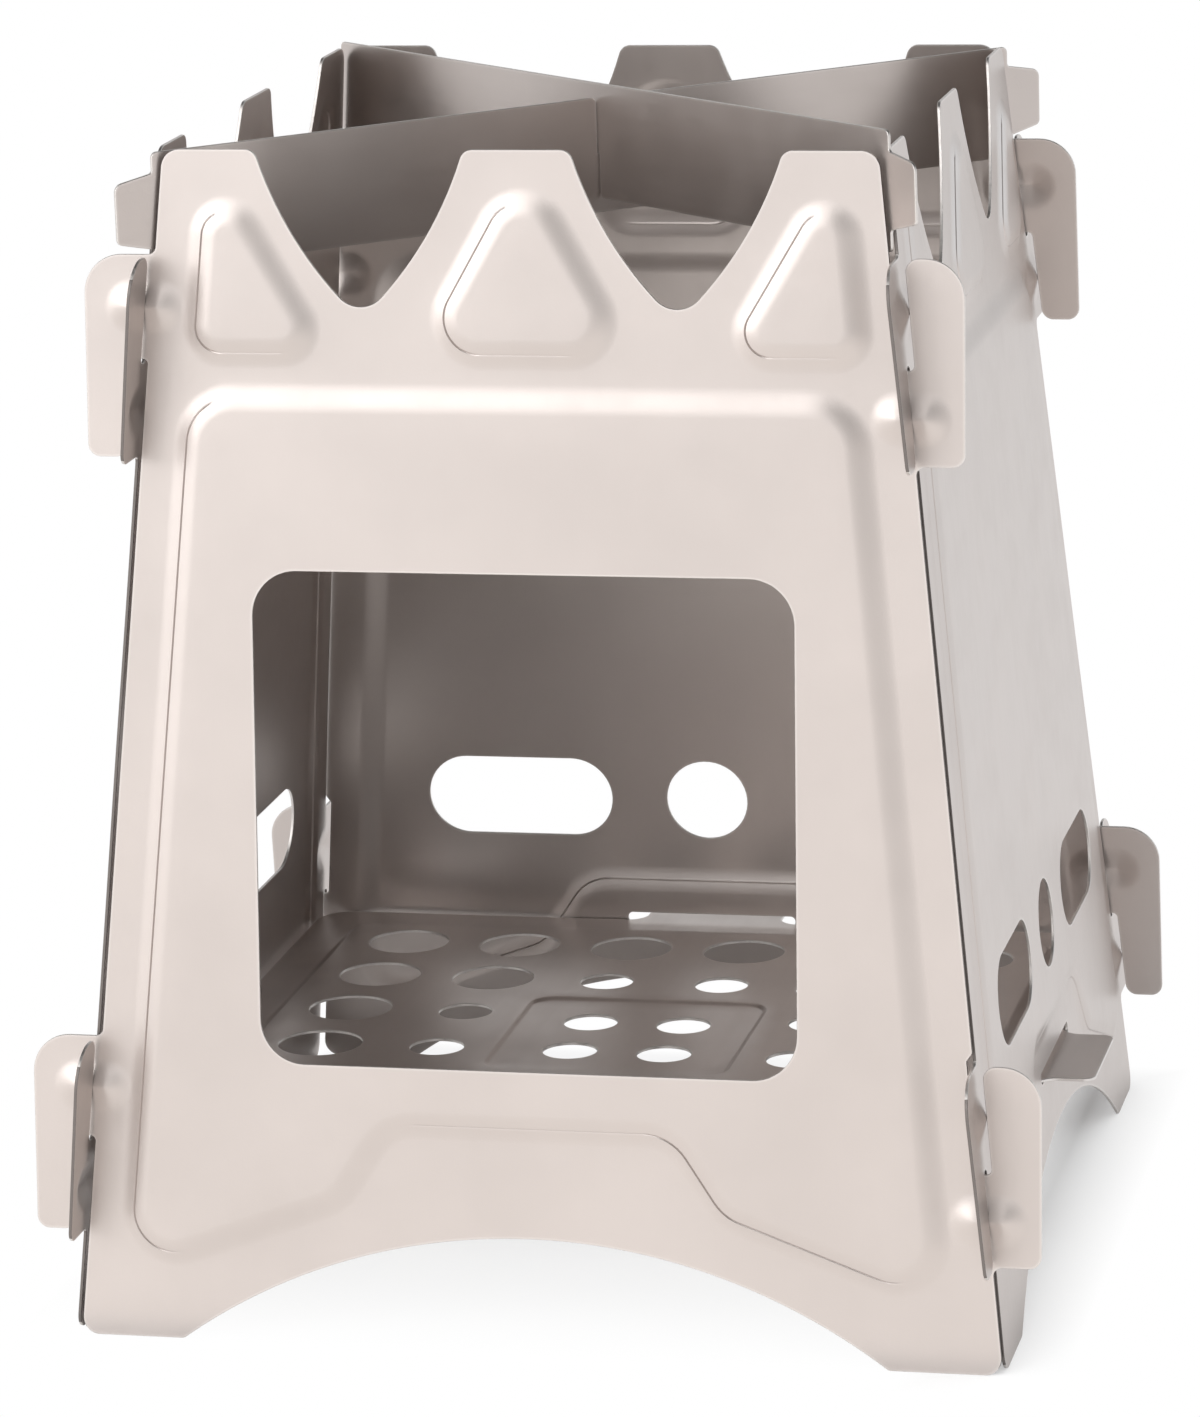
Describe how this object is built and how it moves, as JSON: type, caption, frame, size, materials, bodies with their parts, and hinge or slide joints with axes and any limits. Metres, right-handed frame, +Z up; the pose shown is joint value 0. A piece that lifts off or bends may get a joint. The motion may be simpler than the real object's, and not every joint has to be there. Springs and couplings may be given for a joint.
{
  "type": "knock-down camping stove",
  "caption": "Small wood-burning camping stove of leaning sheet walls hooked at the corners, with a perforated floor plate and crossed pot bars.",
  "frame": {"origin": "on the ground under the middle of the stove", "axes": "+Z up, +Y to the back, so the wall with the fire door faces -Y"},
  "size_m": [0.159, 0.159, 0.1882],
  "materials": {
    "wall_sheet": "satin",
    "floor_sheet": "satin",
    "bar_sheet": "satin"
  },
  "bodies": {
    "stove_body": {"front_panel": "wall_sheet", "right_panel": "wall_sheet", "back_panel": "wall_sheet", "left_panel": "wall_sheet", "floor_plate": "floor_sheet"},
    "lower_pot_bar": {"lower_bar": "bar_sheet"},
    "upper_pot_bar": {"upper_bar": "bar_sheet"}
  },
  "joints": [
    {"name": "lower_bar_lift", "type": "slide", "parent": "stove_body", "child": "lower_pot_bar", "axis": [0, 0, 1], "range_m": [0, 0.022]},
    {"name": "upper_bar_lift", "type": "slide", "parent": "lower_pot_bar", "child": "upper_pot_bar", "axis": [0, 0, 1], "range_m": [0, 0.022]}
  ]
}
